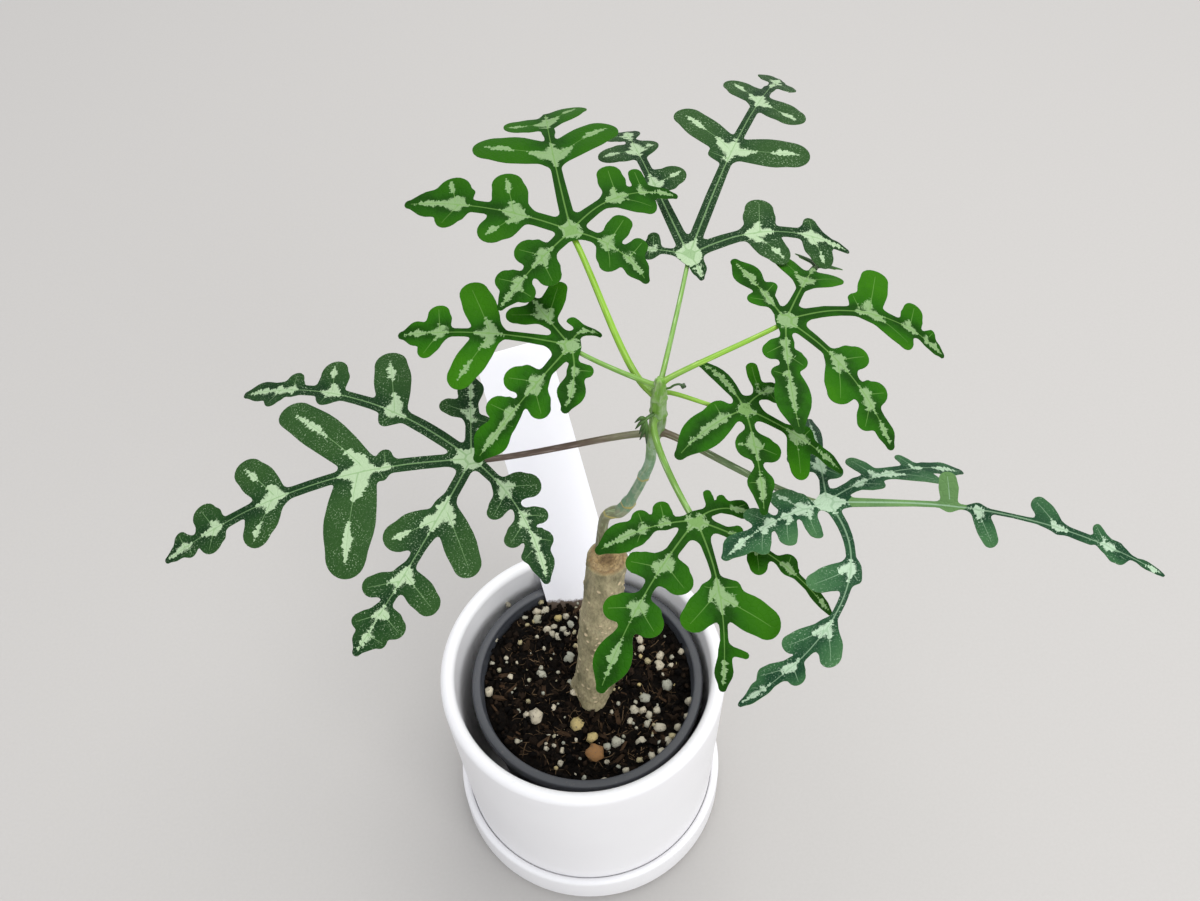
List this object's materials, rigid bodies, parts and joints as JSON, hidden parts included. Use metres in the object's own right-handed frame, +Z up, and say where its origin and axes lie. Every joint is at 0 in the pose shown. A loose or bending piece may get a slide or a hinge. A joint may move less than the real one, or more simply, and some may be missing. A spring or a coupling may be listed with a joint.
{
  "type": "potted adenia",
  "caption": "Cut-leaved climbing succulent on a bare grafted stump, in a plastic grower's pot inside a white ceramic pot on its saucer, with a blank plant label.",
  "frame": {"origin": "middle of the saucer's flat underside, on the surface it stands on", "axes": "+Z up, -Y towards the front of the picture, +X to its right"},
  "size_m": [0.2672, 0.209, 0.2647],
  "materials": {
    "white_glaze": "satin white glaze",
    "grey_plastic": "dark grey moulded plastic",
    "potting_mix": "dark fibrous mix with pale mineral grains",
    "white_plastic": "thin white sheet",
    "bark": "grey-tan bark with pale raised pores",
    "green_stem": "waxy blue-green streaked shoot",
    "young_leaf": "dark green unopened growth",
    "petiole_lime": "bright yellow-green stalk",
    "petiole_pale": "pale green stalk",
    "petiole_brown": "purple-brown stalk",
    "petiole_olive": "olive stalk with pale streaks",
    "blade_bright": "bright green leaf with silver marks along the veins",
    "blade_dark": "dark green leaf with silver marks and pale specks",
    "blade_blue": "blue-green leaf with silver marks and pale specks"
  },
  "bodies": {
    "root": {"saucer": "white_glaze", "cover_pot": "white_glaze", "grower_pot": "grey_plastic", "potting_mix": "potting_mix", "plant_label": "white_plastic", "rootstock": "bark", "scion": "green_stem", "shoot_tuft": "young_leaf", "tendril": "young_leaf", "petiole_back_left": "petiole_lime", "petiole_back": "petiole_pale", "petiole_left": "petiole_pale", "petiole_right_back": "petiole_lime", "petiole_right": "petiole_lime", "petiole_far_left": "petiole_brown", "petiole_front": "petiole_pale", "petiole_far_right": "petiole_olive", "blade_back_left": "blade_bright", "blade_back": "blade_dark", "blade_left": "blade_bright", "blade_right_back": "blade_bright", "blade_right": "blade_bright", "blade_far_left": "blade_dark", "blade_front": "blade_bright", "blade_far_right": "blade_blue"}
  },
  "joints": []
}
